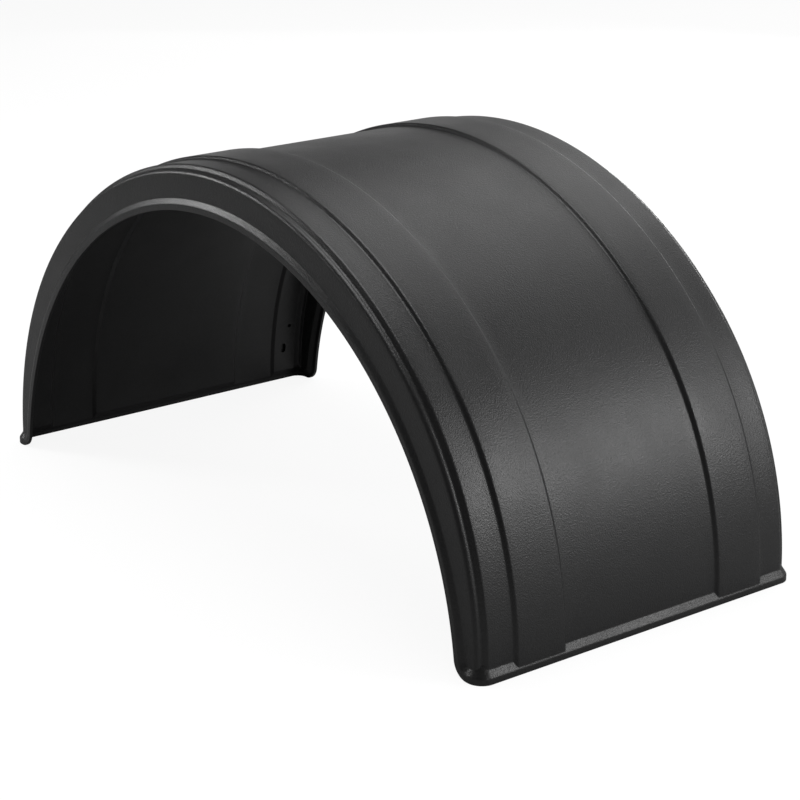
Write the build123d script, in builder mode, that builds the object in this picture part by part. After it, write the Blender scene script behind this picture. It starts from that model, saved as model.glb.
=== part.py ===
from build123d import *
from math import asin, atan2, cos, degrees, hypot, radians, sin, sqrt, tan
import os

# Half-round mudguard for one trailer wheel, moulded in one piece, in millimetres.
# X runs along the guard, Y across it and Z up. The origin lies on the floor, midway
# between the two feet. A level is a height square to the arch, counted from the outside
# of the two raised bands, so that nearly every other surface has a level below zero.

# Arch of the raised bands: a flatter crown between two tighter haunches
haunch_radius = 410.0
haunch_spread = 51.0  # from the middle of the guard to the centre of a haunch
crown_drop = 48.0  # of the crown's centre below the centres of the haunches
leg_height = 8.0  # straight stretch under each haunch
wall = 4.0

# Section across the guard, from the middle outwards
centre_panel = 213.5
raised_band = 62.6
edge_panel = 32.6
band_rise = 4.0
band_riser = 3.5
shoulder_riser = 4.0
shoulder_drop = 5.5
shoulder_width = 7.0
skirt_depth = 53.5  # at the crown
lip_centre_drop = 39.0  # of the centre of the skirts' lower edges below the floor
skirt_draft = 2.0  # degrees, opening downwards
shoulder_radius = 5.0

# Rim that stands proud round both skirts and both feet
rim_proud = 3.5
rim_face = 7.0
rim_slope = 1.5  # run of the sloping step over its rise
rib_over_band = 1.0
rim_edge_radius = 1.5
corner_share = 0.53  # of a foot's depth, rounded seen from the side, and the rest seen from above
corner_thickening = 1.25  # of the wall, at the rounded corners of the rim's inside

# Two blind marks for drilling, inside one leg
slot_mark_width = 8.0
slot_mark_length = 13.0
slot_mark_height = 46.5
slot_mark_inset = 20.0  # from the outer side of the edge panel
dot_mark_diameter = 5.0
dot_mark_height = 78.0
dot_mark_inset = 12.0
mark_depth = 1.5

# Worked out from the sizes above
centre_distance = hypot(haunch_spread, crown_drop)
crown_angle = degrees(atan2(haunch_spread, crown_drop))
haunch_angle = 90 - crown_angle
crown_radius = haunch_radius + centre_distance
crown_centre_z = leg_height - crown_drop
crown_top = crown_centre_z + crown_radius
half_length = haunch_spread + haunch_radius
lip_radius = crown_top - skirt_depth + lip_centre_drop
foot_depth = half_length + rib_over_band - sqrt(lip_radius**2 - lip_centre_drop**2)
corner_radius = corner_share * foot_depth
rim_corner_radius = foot_depth - corner_radius
spare = skirt_depth / 2  # reach of a shape past what is cut from it
near = 0.01
section_floor = -skirt_depth - spare
panel_level = -band_rise
shoulder_level = panel_level - shoulder_drop
band_inner_y = centre_panel / 2 + band_riser
band_outer_y = band_inner_y + raised_band
edge_inner_y = band_outer_y + band_riser
edge_outer_y = edge_inner_y + edge_panel
shoulder_y = edge_outer_y + shoulder_riser
skirt_top_y = shoulder_y + shoulder_width
skirt_spread = tan(radians(skirt_draft))
skirt_low_y = skirt_top_y + (skirt_depth + shoulder_level) * skirt_spread
skirt_end_y = skirt_low_y + spare * skirt_spread
rim_y = skirt_low_y + rim_proud
rim_root = rim_y - skirt_top_y
rim_corner_y = rim_y - rim_corner_radius
rim_corner_level = rib_over_band - rim_corner_radius
groove_reach = hypot(shoulder_y - rim_corner_y, shoulder_level - rim_corner_level)
step_sink = 0.3  # of the sloping step's end into the wall
step_rise = max(rib_over_band + band_rise, rim_root, rim_corner_radius - groove_reach) + step_sink
rib_taper = degrees(atan2(1, rim_slope))
rim_taper = 90 - rib_taper
hollow_rib_face = rim_face - wall * tan(radians(rib_taper / 2))
hollow_rim_face = rim_face - wall * tan(radians(45 - rim_taper / 2))

crown_axis = Axis((0, 0, crown_centre_z), (0, 1, 0))
haunch_axis = Axis((haunch_spread, 0, leg_height), (0, -1, 0))
crown_plane = Plane(origin=(0, 0, crown_top), x_dir=(0, 1, 0), z_dir=(1, 0, 0))
springing_plane = Plane(origin=(half_length, 0, leg_height), x_dir=(0, 1, 0), z_dir=(0, 0, -1))
foot_plane = Plane(origin=(half_length, 0, 0), x_dir=(0, 1, 0), z_dir=(0, 0, -1))


def upper_corners(place):
    # Corners of the sketch in hand that lie this far to either side of its middle, but for its floor
    return [v for v in vertices() if abs(abs(v.X) - place) < near and v.Y > -skirt_depth]


# Outside of the wall across the guard, filled down past the edges of the skirts
with BuildSketch() as wall_outline:
    with BuildLine():
        Polyline(
            (0, panel_level),
            (centre_panel / 2, panel_level),
            (band_inner_y, 0),
            (band_outer_y, 0),
            (edge_inner_y, panel_level),
            (edge_outer_y, panel_level),
            (shoulder_y, shoulder_level),
            (skirt_top_y, shoulder_level),
            (skirt_end_y, section_floor),
            (0, section_floor),
        )
        mirror(about=Plane.YZ)
    make_face()

# Outside of the rim, which runs level over the panels and bands
with BuildSketch() as rim_outline:
    with BuildLine():
        Polyline(
            (0, rib_over_band),
            (rim_y, rib_over_band),
            (rim_y, section_floor),
            (0, section_floor),
        )
        mirror(about=Plane.YZ)
    make_face()

# Both with their outer corners rounded
with BuildSketch() as wall_section:
    add(wall_outline.sketch)
    fillet(upper_corners(skirt_top_y), shoulder_radius)

with BuildSketch() as rim_section:
    add(rim_outline.sketch)
    fillet(upper_corners(rim_y), rim_corner_radius)

# Inside of both, one wall further in
with BuildSketch() as wall_hollow:
    add(wall_outline.sketch)
    offset(amount=-wall, kind=Kind.INTERSECTION)

with BuildSketch() as rim_hollow:
    add(rim_outline.sketch)
    offset(amount=-wall, kind=Kind.INTERSECTION)
    fillet(upper_corners(rim_y - wall), rim_corner_radius - corner_thickening * wall)


# Room for the wheel: all that lies inside the edges of the skirts and below the feet
lip_turn = degrees(asin(lip_centre_drop / lip_radius))
with BuildSketch() as wheel_gap:
    with BuildLine():
        lip_arc = CenterArc((0, -lip_centre_drop), lip_radius, 90, lip_turn - 90)
        Polyline(
            lip_arc @ 1,
            (2 * half_length, 0),
            (2 * half_length, -2 * half_length),
            (0, -2 * half_length),
        )
        mirror(about=Plane.YZ)
    make_face()
    fillet(vertices().filter_by(lambda v: abs(v.Y) < near and abs(v.X) < half_length), corner_radius)

# Seen from the side, what lies below the start of the rim's rounded corner
with BuildSketch() as rim_region:
    with BuildLine():
        CenterArc((0, crown_centre_z), crown_radius + rim_corner_level, 90, -crown_angle)
        haunch_arc = CenterArc(
            (haunch_spread, leg_height),
            haunch_radius + rim_corner_level,
            haunch_angle,
            -haunch_angle,
        )
        Polyline(haunch_arc @ 1, (half_length + rim_corner_level, -half_length), (0, -half_length))
        mirror(about=Plane.YZ)
    make_face()


def half_arch(section):
    # From one foot to the crown, solid below the section
    extrude(springing_plane * section, leg_height)
    revolve(springing_plane * section, haunch_axis, revolution_arc=haunch_angle)
    revolve(crown_plane * section, crown_axis, revolution_arc=crown_angle)


def foot_rib(section, face):
    # The section standing on the floor, then drawn in along the sloping step
    top = foot_plane.offset(-face) * section
    extrude(top, face)
    extrude(top, -step_rise * rim_slope, taper=rib_taper)


def skirt_rim(y, face):
    # The rim along both skirts and round their lower corners, wider towards the skirt
    with BuildPart() as rim:
        with BuildSketch(Plane(origin=(0, y, 0), x_dir=(1, 0, 0), z_dir=(0, -1, 0))):
            add(wheel_gap.sketch)
            offset(amount=face)
        extrude(amount=rim_root, taper=-rim_taper)
        with BuildSketch(Plane.XZ):
            add(rim_region.sketch)
        extrude(amount=2 * rim_y, both=True, mode=Mode.INTERSECT)
    add(rim.part)
    mirror(rim.part, Plane.XZ)


def is_rim_edge(edge):
    # Upper edge of the rim's face, on a skirt or on the foot
    centre = edge.center()
    size = edge.bounding_box().size
    on_skirt = size.Y < near and abs(abs(centre.Y) - rim_y) < near and centre.Z > rim_face - near
    on_foot = size.Z < near and abs(centre.Z - rim_face) < near
    return on_skirt or on_foot


with BuildPart() as outer_form:
    foot_rib(rim_section.sketch, rim_face)
    half_arch(wall_section.sketch)
    skirt_rim(rim_y, rim_face)
    split(bisect_by=Plane.YZ)
    fillet([edge for edge in edges() if is_rim_edge(edge)], rim_edge_radius)

with BuildPart() as hollow_form:
    foot_rib(rim_hollow.sketch, hollow_rib_face)
    half_arch(wall_hollow.sketch)
    skirt_rim(rim_y - wall, hollow_rim_face)


def mark_plane(height, inset):
    # Touches the inside of the leg's edge panel and faces out through the wall
    inner_radius = haunch_radius + panel_level - wall
    turn = asin((height - leg_height) / inner_radius)
    x = -haunch_spread - inner_radius * cos(turn)
    return Plane(
        origin=(x, edge_outer_y - inset, height), x_dir=(0, 1, 0), z_dir=(-cos(turn), 0, sin(turn))
    )


with BuildPart() as mudguard_shell:
    add(outer_form.part)
    add(hollow_form.part, mode=Mode.SUBTRACT)
    with BuildSketch(Plane.XZ):
        add(wheel_gap.sketch)
    extrude(amount=rim_y + spare, both=True, mode=Mode.SUBTRACT)
    split(bisect_by=Plane.YZ)
    mirror(about=Plane.YZ)
    with BuildSketch(mark_plane(slot_mark_height, slot_mark_inset)):
        SlotOverall(slot_mark_length, slot_mark_width, rotation=90)
    with BuildSketch(mark_plane(dot_mark_height, dot_mark_inset)):
        Circle(dot_mark_diameter / 2)
    extrude(amount=mark_depth, both=True, mode=Mode.SUBTRACT)

mudguard_shell.part.label = "mudguard_shell"
os.makedirs("parts", exist_ok=True)
export_step(mudguard_shell.part, "parts/mudguard_shell.step")
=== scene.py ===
import math

import bpy
import numpy as np
from mathutils import Matrix, Vector


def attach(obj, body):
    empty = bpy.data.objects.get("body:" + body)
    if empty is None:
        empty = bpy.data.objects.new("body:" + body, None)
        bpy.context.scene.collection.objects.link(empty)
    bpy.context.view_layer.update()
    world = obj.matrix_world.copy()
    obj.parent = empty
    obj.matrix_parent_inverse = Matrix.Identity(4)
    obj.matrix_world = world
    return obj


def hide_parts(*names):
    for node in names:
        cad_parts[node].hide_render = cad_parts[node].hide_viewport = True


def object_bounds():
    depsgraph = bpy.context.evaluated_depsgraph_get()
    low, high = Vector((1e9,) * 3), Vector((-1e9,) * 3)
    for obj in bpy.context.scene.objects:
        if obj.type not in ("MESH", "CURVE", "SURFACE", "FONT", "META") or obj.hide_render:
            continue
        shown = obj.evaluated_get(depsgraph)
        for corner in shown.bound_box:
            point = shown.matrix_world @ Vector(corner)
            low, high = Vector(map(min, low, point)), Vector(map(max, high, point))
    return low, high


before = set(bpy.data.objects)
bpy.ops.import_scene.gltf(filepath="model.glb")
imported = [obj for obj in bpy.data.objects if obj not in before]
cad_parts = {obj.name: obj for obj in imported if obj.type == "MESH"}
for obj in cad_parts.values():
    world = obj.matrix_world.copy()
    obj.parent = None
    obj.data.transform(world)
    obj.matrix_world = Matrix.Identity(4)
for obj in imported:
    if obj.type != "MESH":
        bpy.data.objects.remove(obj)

mm = 0.001
tiny = 1e-9  # keeps a divisor above zero
cadLow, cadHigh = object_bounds()
shellNode = "mudguard_shell"
print("frame loaded")


def addObject(name, data):
    made = bpy.data.objects.new(name, data)
    bpy.context.scene.collection.objects.link(made)
    return made


# Sizes of the guard. The outer reach comes from the frame, the rest are real sizes.

shell = {
    "wall": 4.0 * mm,
    "centrePanel": 213.5 * mm,
    "raisedBand": 62.6 * mm,
    "edgePanel": 32.6 * mm,
    "bandRise": 4.0 * mm,
    "bandRiser": 3.5 * mm,
    "shoulderRiser": 4.0 * mm,
    "shoulderDrop": 5.5 * mm,
    "shoulderWidth": 7.0 * mm,
    "skirtDepth": 53.5 * mm,  # at the crown
    "lipCentreDrop": 39.0 * mm,
    "skirtSpread": math.tan(math.radians(2.0)),
    "bendRadius": 3.5 * mm,
    "insideBendRadius": 0.9 * mm,
    "shoulderRadius": 5.0 * mm,
    "ribOverBand": 1.0 * mm,
    "cornerShare": 0.53,
    "cornerThickening": 1.25,
    "creaseAngle": math.radians(35.0),  # sharper edges stay sharp in the shading
}
shell["bandInner"] = shell["centrePanel"] / 2 + shell["bandRiser"]
shell["bandOuter"] = shell["bandInner"] + shell["raisedBand"]
shell["edgeInner"] = shell["bandOuter"] + shell["bandRiser"]
shell["edgeOuter"] = shell["edgeInner"] + shell["edgePanel"]

# A flatter crown between two tighter haunches, each on a short straight leg
arch = {
    "haunchSpread": 51.0 * mm,
    "crownDrop": 48.0 * mm,
    "legHeight": 8.0 * mm,
}
arch["haunchRadius"] = cadHigh.x - shell["ribOverBand"] - arch["haunchSpread"]
arch["crownRadius"] = arch["haunchRadius"] + math.hypot(arch["haunchSpread"], arch["crownDrop"])
arch["crownTop"] = arch["legHeight"] - arch["crownDrop"] + arch["crownRadius"]
arch["crownAngle"] = math.atan2(arch["haunchSpread"], arch["crownDrop"])
arch["crownRun"] = arch["crownRadius"] * arch["crownAngle"]
arch["haunchRun"] = arch["haunchRadius"] * (math.pi / 2 - arch["crownAngle"])
arch["springing"] = arch["crownRun"] + arch["haunchRun"]

# The lower edges of both skirts lie on one arc, and the corners of the feet are rounded from it
lip = {"centreZ": -shell["lipCentreDrop"]}
lip["radius"] = arch["crownTop"] - shell["skirtDepth"] - lip["centreZ"]
lip["footDepth"] = cadHigh.x - math.sqrt(lip["radius"] ** 2 - lip["centreZ"] ** 2)
lip["corner"] = shell["cornerShare"] * lip["footDepth"]
lip["cornerX"] = math.sqrt((lip["radius"] + lip["corner"]) ** 2 - (lip["corner"] - lip["centreZ"]) ** 2)
lip["lean"] = math.atan2(lip["corner"] - lip["centreZ"], lip["cornerX"])

rim = {
    "face": 7.0 * mm,
    "slope": 1.5,  # run over rise
    "stepSoftness": 1.2 * mm,
    "rootSoftness": 0.5,  # of the step's, where the rim runs out into the wall
    "edgeRadius": 0.5 * mm,
}
rim["insideFace"] = rim["face"] - shell["wall"] * math.tan(math.atan2(1, rim["slope"]) / 2)


# Outlines of the section, from the middle of the guard to the edge of a skirt, as (across, level).
# A level is a height square to the arch, counted from the outside of the raised bands.

def wallOutline():
    shoulder = shell["edgeOuter"] + shell["shoulderRiser"]
    skirtTop = shoulder + shell["shoulderWidth"]
    panelLevel = -shell["bandRise"]
    shoulderLevel = panelLevel - shell["shoulderDrop"]
    skirtDrop = shell["skirtDepth"] + shoulderLevel
    return [
        (0, panelLevel),
        (shell["centrePanel"] / 2, panelLevel),
        (shell["bandInner"], 0),
        (shell["bandOuter"], 0),
        (shell["edgeInner"], panelLevel),
        (shell["edgeOuter"], panelLevel),
        (shoulder, shoulderLevel),
        (skirtTop, shoulderLevel),
        (skirtTop + skirtDrop * shell["skirtSpread"], -shell["skirtDepth"]),
    ]


def rimPlace(across, level, inset):
    # Nearest point on the outline of the rim: level over the bands, rounded, then upright at the skirt
    radius = lip["footDepth"] - lip["corner"]
    if inset:
        radius -= shell["cornerThickening"] * shell["wall"]
    centre = (cadHigh.y - inset - radius, shell["ribOverBand"] - inset - radius)
    a = np.maximum(across - centre[0], 0)
    b = np.maximum(level - centre[1], 0)
    far = np.maximum(np.hypot(a, b), tiny)
    rimAcross = np.where(a > 0, centre[0] + a / far * radius, across)
    rimLevel = np.where(b > 0, centre[1] + b / far * radius, level)
    return rimAcross, rimLevel


def offsetOutline(points, inset):
    # Every line moved inwards, with the corners where the moved lines meet
    pts = [Vector(p) for p in points]
    tangents = [(b - a).normalized() for a, b in zip(pts, pts[1:])]
    normals = [Vector((t.y, -t.x)) for t in tangents]
    moved = [pts[0] + normals[0] * inset]
    for before, after, p in zip(normals, normals[1:], pts[1:-1]):
        moved.append(p + (before + after) * (inset / (1 + before.dot(after))))
    end = pts[-1] + normals[-1] * inset
    end += tangents[-1] * ((pts[-1].y - end.y) / tangents[-1].y)
    moved.append(end)
    return [tuple(p) for p in moved]


# Stations: where the grid lines of the mesh run. Stretches and bends have the same shares in both
# outlines, so that the inside and the outside match point by point.

stations = {
    "stretches": [9, 2, 5, 2, 3, 3, 2],
    "bends": [4, 4, 4, 4, 5, 4, 7],
    # shares of the corner, from the trimmed edge, close together at the rim's steps
    "fromEdge": [
        0, 0.004, 0.01, 0.025, 0.06, 0.11, 0.17, 0.22, 0.255, 0.285, 0.315, 0.345, 0.375, 0.41,
        0.45, 0.49, 0.53, 0.57, 0.61, 0.65, 0.685, 0.72, 0.76, 0.80, 0.84, 0.88, 0.92, 0.96, 1.0,
    ],
    "skirtUpper": [0.75, 0.5, 0.25],  # shares of the skirt above the corner
    "legRows": [  # heights in millimetres
        22.0, 25.0, 28.0, 31.0, 34.0, 37.0, 41.0, 45.0, 49.0, 53.0, 58.0, 63.0, 68.0, 73.0, 78.0, 83.0,
    ],
    "rowStep": 9.0 * mm,
}


def sectionPoints(outline, radii):
    # The rounded outline at every station, as far as the end of the shoulder's bend
    pts = [Vector(p) for p in outline]
    start, found = pts[0], []
    for i, (before, p, after, radius) in enumerate(zip(pts, pts[1:], pts[2:], radii)):
        inward, outward = (before - p).normalized(), (after - p).normalized()
        turn = math.pi - inward.angle(outward)
        reach = radius * math.tan(turn / 2)
        end = p + inward * reach
        centre = p + (inward + outward).normalized() * (radius / math.cos(turn / 2))
        sense = math.copysign(1, inward.x * outward.y - inward.y * outward.x)
        for k in range(stations["stretches"][i]):
            found.append(start.lerp(end, k / stations["stretches"][i]))
        for k in range(stations["bends"][i]):
            spoke = end - centre
            spoke.rotate(Matrix.Rotation(-sense * turn * k / stations["bends"][i], 2))
            found.append(centre + spoke)
        start = p + outward * reach
    found.append(start)
    return np.array([tuple(p) for p in found])


# Places on the arch: along it at the bands and level above them, against the plane seen from the side

def fromArch(run, level):
    crownTurn = run / arch["crownRadius"]
    haunchTurn = arch["crownAngle"] + (run - arch["crownRun"]) / arch["haunchRadius"]
    onCrown = run < arch["crownRun"]
    turn = np.where(onCrown, crownTurn, np.minimum(haunchTurn, math.pi / 2))
    reach = level + np.where(onCrown, arch["crownRadius"], arch["haunchRadius"])
    x = reach * np.sin(turn) + np.where(onCrown, 0, arch["haunchSpread"])
    z = reach * np.cos(turn) + arch["legHeight"] - np.where(onCrown, arch["crownDrop"], 0)
    return x, z - np.maximum(run - arch["springing"], 0)


def toArch(x, z):
    overCentre = z - arch["legHeight"]
    turn = np.arctan2(x, overCentre + arch["crownDrop"])
    onCrown = turn < arch["crownAngle"]
    haunchTurn = np.arctan2(x - arch["haunchSpread"], np.maximum(overCentre, 0))
    haunchRun = arch["crownRun"] + (haunchTurn - arch["crownAngle"]) * arch["haunchRadius"]
    run = np.where(onCrown, turn * arch["crownRadius"], haunchRun) - np.minimum(overCentre, 0)
    crownLevel = np.hypot(x, overCentre + arch["crownDrop"]) - arch["crownRadius"]
    haunchLevel = np.hypot(x - arch["haunchSpread"], np.maximum(overCentre, 0)) - arch["haunchRadius"]
    return run, np.where(onCrown, crownLevel, haunchLevel)


def runAtHeight(height, level):
    # Distance along the arch of the point with this height and level
    ratio = np.clip((height - arch["legHeight"]) / (arch["haunchRadius"] + level), -1, 1)
    return np.where(height < arch["legHeight"], arch["springing"] + arch["legHeight"] - height,
                    arch["springing"] - arch["haunchRadius"] * np.arcsin(ratio))


def skirtColumns(topX, topZ, height):
    # One row of a skirt, from its top to its lower edge: places, and distances from the trimmed edge
    corner = lip["corner"]
    p = np.array([d * corner for d in stations["fromEdge"][::-1]])
    shares = np.array(stations["skirtUpper"])
    if height > corner:
        reach = math.hypot(topX, topZ - lip["centreZ"])
        distance = np.concatenate([corner + (reach - lip["radius"] - corner) * shares, p])
        scale = (lip["radius"] + distance) / reach
        return topX * scale, lip["centreZ"] + (topZ - lip["centreZ"]) * scale, distance
    # In the rounded corner the rows turn from the skirt's edge into the foot's
    a, b = corner - p, corner - height
    reach = np.maximum(np.maximum(a, b), tiny)
    turn = np.where(a >= b, b / reach * math.pi / 4, math.pi / 2 - a / reach * math.pi / 4)
    turn = lip["lean"] + turn * (1 - lip["lean"] / (math.pi / 2))
    x = lip["cornerX"] - reach * np.cos(turn)
    z = corner - reach * np.sin(turn)
    upperX = x[0] + (topX - x[0]) * shares
    upperZ = z[0] + (topZ - z[0]) * shares
    distance = np.concatenate([np.full(len(shares), height), np.minimum(p, height)])
    return np.concatenate([upperX, x]), np.concatenate([upperZ, z]), distance


def flatQuarter(outline, radii, inset):
    # A quarter of the guard, unrolled. Each point has its place along the arch, across and level,
    # the way from there to the rim's outline across and level, and its distance from the trimmed edge.
    section = sectionPoints(outline, radii)
    across, level = section[:, 0], section[:, 1]
    corner = lip["corner"]
    near = [d * corner for d in stations["fromEdge"]] + [h * mm for h in stations["legRows"]]
    lines = []
    for height in near:
        # Level at the foot, and square to the arch further up
        t = min(max((height - corner) / (near[-1] - corner), 0), 1)
        share = t * t * (3 - 2 * t)
        run = runAtHeight(height, level) * (1 - share) + runAtHeight(height, 0) * share
        lines.append((height, run))
    last = float(runAtHeight(near[-1], 0))
    count = math.ceil(last / stations["rowStep"])
    for step in range(1, count + 1):
        lines.append((near[-1], np.full(len(level), last * (1 - step / count))))
    rows = []
    for height, run in lines:
        topX, topZ = fromArch(run[-1], level[-1])
        skirtX, skirtZ, skirtDistance = skirtColumns(float(topX), float(topZ), height)
        skirtRun, skirtLevel = toArch(skirtX, skirtZ)
        skirtAcross = across[-1] + (level[-1] - skirtLevel) * shell["skirtSpread"]
        allAcross = np.concatenate([across, skirtAcross])
        allLevel = np.concatenate([level, skirtLevel])
        rimAcross, rimLevel = rimPlace(allAcross, allLevel, inset)
        rows.append(np.stack([
            np.concatenate([run, skirtRun]), allAcross, allLevel,
            rimAcross - allAcross, rimLevel - allLevel,
            np.concatenate([np.full(len(level), height), skirtDistance]),
        ], axis=1))
    return np.array(rows)


def wholeSheet(quarter):
    # Rows from one foot to the other, columns from one skirt to the other
    half = np.concatenate([quarter, (quarter * [-1, 1, 1, 1, 1, 1])[-2::-1]])
    mirrored = half * [1, -1, 1, -1, 1, 1]
    return np.concatenate([mirrored[:, :0:-1], half], axis=1)


def buildBlank():
    # The unrolled guard as a closed mesh: outer sheet, inner sheet and the trimmed edge between
    wall = wallOutline()
    inside = offsetOutline(wall, shell["wall"])
    outsideRadii = [shell["bendRadius"]] * 6 + [shell["shoulderRadius"]]
    insideRadii = [shell["insideBendRadius"]] * 7
    sheets = [
        wholeSheet(flatQuarter(wall, outsideRadii, 0)),
        wholeSheet(flatQuarter(inside, insideRadii, shell["wall"])),
    ]
    rows, columns = sheets[0].shape[:2]
    size = rows * columns
    index = np.arange(size).reshape(rows, columns)
    quads = np.stack([index[:-1, :-1], index[1:, :-1], index[1:, 1:], index[:-1, 1:]], axis=-1)
    quads = quads.reshape(-1, 4)
    border = np.concatenate([index[0, :-1], index[:-1, -1], index[-1, :0:-1], index[:0:-1, 0]])
    nextBorder = np.roll(border, -1)
    strip = np.stack([border, nextBorder, nextBorder + size, border + size], axis=1)
    faces = np.concatenate([quads, quads[:, ::-1] + size, strip[:, ::-1]])
    points = np.concatenate([sheet.reshape(size, -1) for sheet in sheets])
    place, rimWay, edgeDistance = points[:, :3], points[:, 3:5], points[:, 5]

    mesh = bpy.data.meshes.new("blank")
    mesh.from_pydata(place.tolist(), [], faces.tolist())
    for name, values in (
        ("edgeDistance", edgeDistance),
        ("stepStart", np.repeat([rim["face"], rim["insideFace"]], size)),
        ("side", np.repeat([1.0, -1.0], size)),
    ):
        mesh.attributes.new(name, "FLOAT", "POINT").data.foreach_set("value", values.astype(np.float32))
    shift = np.zeros((len(points), 3), np.float32)
    shift[:, 1:] = rimWay
    mesh.attributes.new("rimShift", "FLOAT_VECTOR", "POINT").data.foreach_set("vector", shift.ravel())
    outside = np.arange(len(faces)) < len(quads)
    mesh.attributes.new("outside", "BOOLEAN", "FACE").data.foreach_set("value", outside)
    print("blank made:", len(points), "points,", rows, "rows,", columns, "columns")
    return addObject("mudguardMoulding", mesh)


# A small layer over the node editor, so that the formulas below read as formulas

class Graph:
    def __init__(self, tree):
        self.tree = tree

    def node(self, kind, inputs=(), **settings):
        made = self.tree.nodes.new(kind)
        for name, value in settings.items():
            setattr(made, name, value)
        for socket, value in zip(made.inputs, inputs):
            self.feed(socket, value)
        return made

    def feed(self, socket, value):
        if value is None:
            return
        if isinstance(value, bpy.types.NodeSocket):
            self.tree.links.new(value, socket)
        else:
            socket.default_value = value

    def math(self, operation, *values):
        return self.node("ShaderNodeMath", values, operation=operation).outputs[0]

    def vector(self, operation, *values):
        return self.node("ShaderNodeVectorMath", values, operation=operation)

    def attribute(self, name, kind="FLOAT"):
        made = self.node("GeometryNodeInputNamedAttribute", data_type=kind)
        made.inputs["Name"].default_value = name
        return made.outputs["Attribute"]

    def pick(self, test, whenFalse, whenTrue):
        made = self.node("GeometryNodeSwitch", input_type="FLOAT")
        self.feed(made.inputs["Switch"], test)
        self.feed(made.inputs["False"], whenFalse)
        self.feed(made.inputs["True"], whenTrue)
        return made.outputs["Output"]


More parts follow.
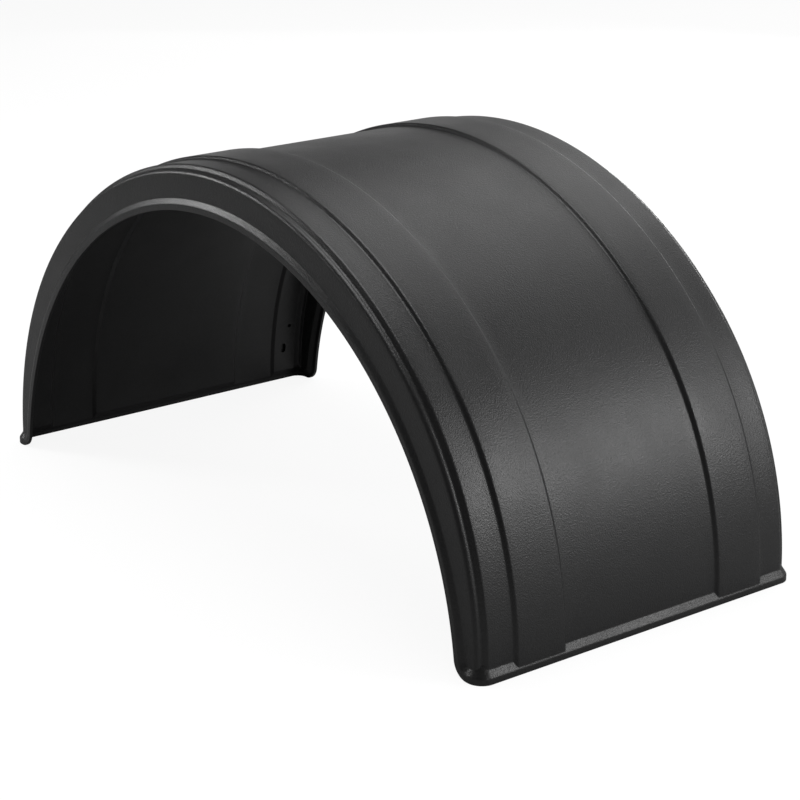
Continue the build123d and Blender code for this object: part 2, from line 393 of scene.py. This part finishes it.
def guardTree(materials):
    # Raises the rim on the unrolled guard, then rolls it round the three-centred arch
    tree = bpy.data.node_groups.new("rollMudguard", "GeometryNodeTree")
    sockets = tree.interface
    sockets.new_socket("Geometry", in_out="INPUT", socket_type="NodeSocketGeometry")
    sizes = {
        "Haunch Radius": arch["haunchRadius"], "Haunch Spread": arch["haunchSpread"],
        "Crown Drop": arch["crownDrop"], "Leg Height": arch["legHeight"],
        "Rim Slope": rim["slope"], "Step Softness": rim["stepSoftness"], "Edge Radius": rim["edgeRadius"],
    }
    for name, value in sizes.items():
        sockets.new_socket(name, in_out="INPUT", socket_type="NodeSocketFloat").default_value = value
    sockets.new_socket("Geometry", in_out="OUTPUT", socket_type="NodeSocketGeometry")
    g = Graph(tree)
    given = g.node("NodeGroupInput").outputs

    # Rim: full height up to the step, then down the slope, rounded where the two meet
    shift = g.attribute("rimShift", "FLOAT_VECTOR")
    distance = g.attribute("edgeDistance")
    rise = g.vector("LENGTH", shift).outputs["Value"]
    along = g.math("DIVIDE", g.math("SUBTRACT", g.attribute("stepStart"), distance), given["Rim Slope"])
    softness = given["Step Softness"]
    sloped = g.math("SMOOTH_MIN", g.math("ADD", rise, along), rise, softness)
    lift = g.math("SMOOTH_MAX", sloped, 0.0, g.math("MULTIPLY", softness, rim["rootSoftness"]))

    # Trimmed edge: a quarter round, on both sides of the wall
    radius = given["Edge Radius"]
    inRound = g.math("SUBTRACT", radius, g.math("MINIMUM", distance, radius))
    roundSquare = g.math(
        "SUBTRACT", g.math("MULTIPLY", radius, radius), g.math("MULTIPLY", inRound, inRound))
    drop = g.math("SUBTRACT", radius, g.math("SQRT", roundSquare))
    lift = g.math("SUBTRACT", lift, g.math("MULTIPLY", drop, g.attribute("side")))
    scaled = g.node("ShaderNodeVectorMath", operation="SCALE")
    g.feed(scaled.inputs[0], g.vector("NORMALIZE", shift).outputs[0])
    g.feed(scaled.inputs["Scale"], lift)
    raised = g.vector("ADD", g.node("GeometryNodeInputPosition").outputs[0], scaled.outputs[0])
    parts = g.node("ShaderNodeSeparateXYZ", [raised.outputs[0]]).outputs
    run, across, level = parts[0], parts[1], parts[2]

    # Arch: angle from the top, and which of the three stretches the point is on
    haunch, spread = given["Haunch Radius"], given["Haunch Spread"]
    dropZ, leg = given["Crown Drop"], given["Leg Height"]
    centreSquare = g.math("ADD", g.math("MULTIPLY", spread, spread), g.math("MULTIPLY", dropZ, dropZ))
    crown = g.math("ADD", haunch, g.math("SQRT", centreSquare))
    crownAngle = g.math("ARCTAN2", spread, dropZ)
    length = g.math("ABSOLUTE", run)
    overCrown = g.math("SUBTRACT", length, g.math("MULTIPLY", crown, crownAngle))
    onHaunch = g.math("GREATER_THAN", overCrown, 0.0)
    haunchTurn = g.math("SUBTRACT", math.pi / 2, crownAngle)
    overHaunch = g.math("SUBTRACT", overCrown, g.math("MULTIPLY", haunch, haunchTurn))
    straight = g.math("MAXIMUM", overHaunch, 0.0)
    turnOnHaunch = g.math("ADD", crownAngle, g.math("DIVIDE", overCrown, haunch))
    turn = g.pick(onHaunch, g.math("DIVIDE", length, crown), turnOnHaunch)
    angle = g.math("MINIMUM", turn, math.pi / 2)
    reach = g.math("ADD", g.pick(onHaunch, crown, haunch), level)
    centreX = g.pick(onHaunch, 0.0, spread)
    centreZ = g.pick(onHaunch, g.math("SUBTRACT", leg, dropZ), leg)
    x = g.math("ADD", centreX, g.math("MULTIPLY", reach, g.math("SINE", angle)))
    overFloor = g.math("ADD", centreZ, g.math("MULTIPLY", reach, g.math("COSINE", angle)))
    z = g.math("SUBTRACT", overFloor, straight)
    rolled = g.node("ShaderNodeCombineXYZ", [g.math("MULTIPLY", x, g.math("SIGN", run)), across, z])

    place = g.node("GeometryNodeSetPosition")
    g.feed(place.inputs["Geometry"], given["Geometry"])
    g.feed(place.inputs["Position"], rolled.outputs[0])
    realize = g.node("GeometryNodeRealizeInstances", [place.outputs[0]])
    inside = g.node("GeometryNodeSetMaterial")
    g.feed(inside.inputs["Geometry"], realize.outputs[0])
    inside.inputs["Material"].default_value = materials["inside"]
    outside = g.node("GeometryNodeSetMaterial")
    g.feed(outside.inputs["Geometry"], inside.outputs[0])
    g.feed(outside.inputs["Selection"], g.attribute("outside", "BOOLEAN"))
    outside.inputs["Material"].default_value = materials["outside"]
    g.node("NodeGroupOutput", [outside.outputs[0]])
    return tree, sizes


def applyModifiers(piece):
    # The mesh as its modifiers leave it takes the place of the one before
    graph = bpy.context.evaluated_depsgraph_get()
    mesh = bpy.data.meshes.new_from_object(piece.evaluated_get(graph), depsgraph=graph)
    before = piece.data
    piece.modifiers.clear()
    piece.data = mesh
    bpy.data.meshes.remove(before)
    mesh.name = piece.name


def rollUp(blank, materials):
    tree, sizes = guardTree(materials)
    modifier = blank.modifiers.new("roll", "NODES")
    modifier.node_group = tree
    for item in tree.interface.items_tree:
        if item.in_out == "INPUT" and item.name in sizes:
            modifier[item.identifier] = sizes[item.name]
    applyModifiers(blank)
    for name in ("edgeDistance", "stepStart", "side", "rimShift", "outside"):
        if name in blank.data.attributes:
            blank.data.attributes.remove(blank.data.attributes[name])
    print("guard rolled up:", len(blank.data.polygons), "faces")
    return blank


# Two blind marks for drilling, inside one leg. A height is above the floor, and an inset is from the
# outer side of the edge panel.

marks = {
    "slot": {"width": 8.0 * mm, "length": 13.0 * mm, "height": 46.5 * mm, "inset": 20.0 * mm},
    "dot": {"width": 5.0 * mm, "length": 5.0 * mm, "height": 78.0 * mm, "inset": 12.0 * mm},
}
markDepth = 1.5 * mm
markSides = 32  # straight sides of a mark's outline


def markCutter(name, mark):
    # A round-ended block, standing through the inner face of the leg's edge panel
    inner = arch["haunchRadius"] - shell["bandRise"] - shell["wall"]
    turn = math.asin((mark["height"] - arch["legHeight"]) / inner)
    outward = Vector((-math.cos(turn), 0, math.sin(turn)))
    upward = Vector((math.sin(turn), 0, math.cos(turn)))
    centre = Vector((-arch["haunchSpread"], 0, arch["legHeight"])) + outward * inner
    centre.y = shell["edgeOuter"] - mark["inset"]
    straight = (mark["length"] - mark["width"]) / 2
    ring = []
    for k in range(markSides):
        angle = 2 * math.pi * (k + 0.5) / markSides
        lift = math.copysign(straight, math.sin(angle))
        ring.append((math.cos(angle) * mark["width"] / 2, math.sin(angle) * mark["width"] / 2 + lift))
    points = [centre + Vector((0, u, 0)) + upward * v + outward * markDepth * end
              for end in (-1, 1) for u, v in ring]
    faces = [tuple(range(markSides)), tuple(range(2 * markSides - 1, markSides - 1, -1))]
    for k in range(markSides):
        after = (k + 1) % markSides
        faces.append((k, k + markSides, after + markSides, after))
    mesh = bpy.data.meshes.new(name)
    mesh.from_pydata(points, [], faces)
    return addObject(name, mesh)


def sinkMarks(guard):
    for name, mark in marks.items():
        cutter = markCutter(name + "Cutter", mark)
        cut = guard.modifiers.new(name, "BOOLEAN")
        cut.operation, cut.solver, cut.object = "DIFFERENCE", "EXACT", cutter
        applyModifiers(guard)
        bpy.data.objects.remove(cutter)
    print("marks sunk")


# Grain of the plastic: one pattern, with other sizes and depths outside than inside

grainDefaults = {"Grain Size": 0.55 * mm, "Depth": 0.5, "Unevenness": 0.5}
grainPattern = {
    "fineDetail": 3.0, "fineRoughness": 0.6,
    "pebbleScale": 0.8, "speckleScale": 0.35,  # against the fine grain's
    "slowScale": 14.0, "slowDetail": 2.0,
}


def grainGroup():
    # Heights for the bump, and slow and fine masks for roughness and colour
    tree = bpy.data.node_groups.new("mouldedGrain", "ShaderNodeTree")
    sockets = tree.interface
    for name, value in grainDefaults.items():
        sockets.new_socket(name, in_out="INPUT", socket_type="NodeSocketFloat").default_value = value
    for name in ("Height", "Cloud", "Speckle"):
        sockets.new_socket(name, in_out="OUTPUT", socket_type="NodeSocketFloat")
    g = Graph(tree)
    given = g.node("NodeGroupInput").outputs
    coords = g.node("ShaderNodeTexCoord").outputs["Object"]
    scale = g.math("DIVIDE", 1.0, given["Grain Size"])

    fine = g.node("ShaderNodeTexNoise")
    g.feed(fine.inputs["Vector"], coords)
    g.feed(fine.inputs["Scale"], scale)
    fine.inputs["Detail"].default_value = grainPattern["fineDetail"]
    fine.inputs["Roughness"].default_value = grainPattern["fineRoughness"]
    pebbles = g.node("ShaderNodeTexVoronoi", feature="SMOOTH_F1")
    g.feed(pebbles.inputs["Vector"], coords)
    g.feed(pebbles.inputs["Scale"], g.math("MULTIPLY", scale, grainPattern["pebbleScale"]))
    grain = g.math("ADD", fine.outputs[0], pebbles.outputs["Distance"])

    slow = g.node("ShaderNodeTexNoise")
    g.feed(slow.inputs["Vector"], coords)
    slow.inputs["Scale"].default_value = grainPattern["slowScale"]
    slow.inputs["Detail"].default_value = grainPattern["slowDetail"]
    speckle = g.node("ShaderNodeTexNoise")
    g.feed(speckle.inputs["Vector"], coords)
    g.feed(speckle.inputs["Scale"], g.math("MULTIPLY", scale, grainPattern["speckleScale"]))

    output = g.node("NodeGroupOutput")
    g.feed(output.inputs["Height"], g.math("MULTIPLY", grain, given["Depth"]))
    g.feed(output.inputs["Cloud"], g.math("MULTIPLY", slow.outputs[0], given["Unevenness"]))
    g.feed(output.inputs["Speckle"], speckle.outputs[0])
    return tree


def emptyMaterial(name):
    material = bpy.data.materials.new(name)
    material.use_nodes = True
    material.node_tree.nodes.clear()
    return material, Graph(material.node_tree)


outsideFinish = {
    "darkColour": (0.005, 0.005, 0.0052, 1), "lightColour": (0.014, 0.014, 0.0145, 1),
    "roughness": 0.36, "roughnessSpread": 0.06, "grainSize": 1.2 * mm, "grainDepth": 1.0,
    "unevenness": 1.0, "bumpStrength": 1.0, "bumpDistance": 0.21 * mm,
}
# Inside, the blacks are lighter than outside: painted light brightening the inside of the arch over the
# plastic's real black, with a smoother grain than outside
insideFinishAndPaintedLight = {
    "darkColour": (0.008, 0.008, 0.0083, 1), "lightColour": (0.018, 0.018, 0.0186, 1),
    "roughness": 0.36, "roughnessSpread": 0.10, "grainSize": 0.9 * mm, "grainDepth": 0.6,
    "unevenness": 1.0, "bumpStrength": 0.2, "bumpDistance": 0.05 * mm,
}
plastic = {"ior": 1.5, "cloudLow": 0.2, "cloudHigh": 0.8}  # the cloud's range that roughness follows


def blackPlastic(name, finish, group):
    material, g = emptyMaterial(name)
    grain = g.node("ShaderNodeGroup", node_tree=group)
    grain.inputs["Grain Size"].default_value = finish["grainSize"]
    grain.inputs["Depth"].default_value = finish["grainDepth"]
    grain.inputs["Unevenness"].default_value = finish["unevenness"]
    colour = g.node("ShaderNodeMix", data_type="RGBA")
    g.feed(colour.inputs[0], grain.outputs["Speckle"])
    colour.inputs[6].default_value = finish["darkColour"]  # colour A of the mix, and below colour B
    colour.inputs[7].default_value = finish["lightColour"]
    low = finish["roughness"] - finish["roughnessSpread"]
    high = finish["roughness"] + finish["roughnessSpread"]
    cloudRange = [plastic["cloudLow"], plastic["cloudHigh"]]
    rough = g.node("ShaderNodeMapRange", [grain.outputs["Cloud"], *cloudRange, low, high])
    bump = g.node("ShaderNodeBump")
    bump.inputs["Strength"].default_value = finish["bumpStrength"]
    bump.inputs["Distance"].default_value = finish["bumpDistance"]
    g.feed(bump.inputs["Height"], grain.outputs["Height"])
    surface = g.node("ShaderNodeBsdfPrincipled")
    g.feed(surface.inputs["Base Color"], colour.outputs[2])
    g.feed(surface.inputs["Roughness"], rough.outputs[0])
    g.feed(surface.inputs["Normal"], bump.outputs[0])
    surface.inputs["IOR"].default_value = plastic["ior"]
    output = g.node("ShaderNodeOutputMaterial")
    g.feed(output.inputs["Surface"], surface.outputs[0])
    return material


# Studio: camera as in the photograph, pale floor, soft light

def awayFrom(azimuth, elevation):
    # Unit vector from the guard to the camera or a lamp
    flat = math.cos(elevation)
    return Vector((math.sin(azimuth) * flat, -math.cos(azimuth) * flat, math.sin(elevation)))


camera = {
    "azimuth": 0.9045, "elevation": 0.3275, "roll": 0.0017,
    "place": (2.0798, -1.5970, 1.0223), "lens": 106.42, "sensor": 36.0,
    "nearest": 0.05, "furthest": 100.0,
}


def addCamera():
    data = bpy.data.cameras.new("camera")
    data.lens = camera["lens"]
    data.sensor_width = camera["sensor"]
    data.clip_start, data.clip_end = camera["nearest"], camera["furthest"]
    made = addObject("camera", data)
    back = awayFrom(camera["azimuth"], camera["elevation"])
    turn = back.to_track_quat("Z", "Y") @ Matrix.Rotation(camera["roll"], 3, "Z").to_quaternion()
    made.rotation_euler = turn.to_euler()
    made.location = camera["place"]
    bpy.context.scene.camera = made


studio = {
    "floorSize": 30.0, "floorColour": (0.42, 0.42, 0.42, 1),
    "shownFloor": (0.14, 0.14, 0.14, 1), "shownGlow": 0.90,  # what the camera sees of it: almost white
    "light": (1, 1, 1, 1), "fill": 0.10, "background": 0.92,
    "viewTransform": "Standard",
}


def mixByCamera(g, forOthers, forCamera):
    # One shader for the camera's own rays, another for light that falls and reflects
    seen = g.node("ShaderNodeLightPath").outputs["Is Camera Ray"]
    return g.node("ShaderNodeMixShader", [seen, forOthers, forCamera]).outputs[0]


def addFloor():
    half = studio["floorSize"] / 2
    mesh = bpy.data.meshes.new("floor")
    corners = [(-half, -half, 0), (half, -half, 0), (half, half, 0), (-half, half, 0)]
    mesh.from_pydata(corners, [], [(0, 1, 2, 3)])
    floor = addObject("floor", mesh)
    material, g = emptyMaterial("paleFloor")
    lit = g.node("ShaderNodeBsdfDiffuse", [studio["floorColour"]])
    shown = g.node("ShaderNodeBsdfDiffuse", [studio["shownFloor"]])
    glow = g.node("ShaderNodeEmission", [None, studio["shownGlow"]])
    pale = g.node("ShaderNodeAddShader", [shown.outputs[0], glow.outputs[0]])
    g.node("ShaderNodeOutputMaterial", [mixByCamera(g, lit.outputs[0], pale.outputs[0])])
    mesh.materials.append(material)


def addWorld():
    world = bpy.data.worlds.new("studio")
    world.use_nodes = True
    world.node_tree.nodes.clear()
    g = Graph(world.node_tree)
    fill = g.node("ShaderNodeBackground", [studio["light"], studio["fill"]])
    shown = g.node("ShaderNodeBackground", [studio["light"], studio["background"]])
    g.node("ShaderNodeOutputWorld", [mixByCamera(g, fill.outputs[0], shown.outputs[0])])
    bpy.context.scene.world = world
    bpy.context.scene.view_settings.view_transform = studio["viewTransform"]


lamps = {
    # azimuth and elevation seen from the guard in degrees, distance, width, height, glow
    "backWall": (178, 26, 3.4, 6.0, 2.6, 0.75),
    "rightWall": (112, 12, 3.4, 3.2, 1.9, 0.8),
    "leftWall": (-128, 8, 3.2, 1.6, 1.2, 0.4),
    "backLow": (-158, 9, 3.2, 1.4, 0.5, 8.0),
    "backLeft": (-150, 48, 3.0, 1.5, 1.1, 1.1),
    "backHigh": (-176, 47, 3.0, 1.5, 0.9, 1.3),
    "backRight": (125, 20, 3.0, 0.9, 1.0, 7.5),
    "frontLeft": (-56, 24, 3.0, 0.7, 0.8, 17.0),
    "frontStrip": (-20, 13, 3.0, 1.4, 0.4, 1.2),
    "overhead": (0, 88, 2.6, 1.8, 1.8, 4.0),
}


def addLights():
    # The glow is how bright a lamp looks, whatever its size
    target = Vector((0, 0, cadHigh.z / 2))
    for name, (azimuth, elevation, distance, width, height, glow) in lamps.items():
        data = bpy.data.lights.new(name, "AREA")
        data.shape, data.size, data.size_y = "RECTANGLE", width, height
        data.energy = glow * math.pi * width * height
        made = addObject(name, data)
        made.visible_camera = False
        away = awayFrom(math.radians(azimuth), math.radians(elevation))
        made.location = target + away * distance
        made.rotation_euler = away.to_track_quat("Z", "Y").to_euler()


addCamera()
addFloor()
addWorld()
addLights()
print("studio ready")

grain = grainGroup()
materials = {
    "outside": blackPlastic("grainedBlackPlastic", outsideFinish, grain),
    # the inside's lighter black is painted light, its weaker grain is real
    "inside": blackPlastic("smoothBlackPlasticWithPaintedLight", insideFinishAndPaintedLight, grain),
}
guard = rollUp(buildBlank(), materials)
sinkMarks(guard)
guard.data.polygons.foreach_set("use_smooth", [True] * len(guard.data.polygons))
guard.data.set_sharp_from_angle(angle=shell["creaseAngle"])
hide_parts(shellNode)
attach(guard, "root")
print("guard ready:", sum(len(p.vertices) - 2 for p in guard.data.polygons), "triangles")
